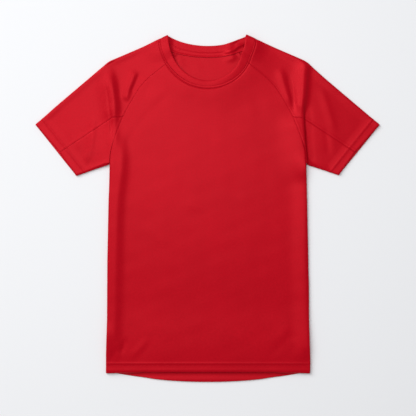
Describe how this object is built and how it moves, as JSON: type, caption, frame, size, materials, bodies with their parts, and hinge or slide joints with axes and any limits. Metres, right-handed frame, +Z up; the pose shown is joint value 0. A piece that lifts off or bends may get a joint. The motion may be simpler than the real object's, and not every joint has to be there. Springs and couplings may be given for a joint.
{
  "type": "short-sleeved gym t-shirt",
  "caption": "Plain red raglan gym t-shirt with a rib crew neck, short sleeves and a dropped tail, laid flat on its back.",
  "frame": {"origin": "middle of the bounding box at the surface that the shirt lies on", "axes": "+X to the wearer's left, +Y from the hem towards the neck, +Z up out of the chest, away from the surface"},
  "size_m": [0.7742, 0.7773, 0.0075],
  "materials": {
    "jersey": "smooth polyester knit with a slight sheen",
    "rib": "fine rib knit, doubled",
    "tape": "narrow self-fabric strip"
  },
  "bodies": {
    "root": {"front": "jersey", "back": "jersey", "left_sleeve_upper": "jersey", "left_sleeve_under": "jersey", "right_sleeve_upper": "jersey", "right_sleeve_under": "jersey", "neckband": "rib", "neck_tape": "tape"}
  },
  "joints": []
}
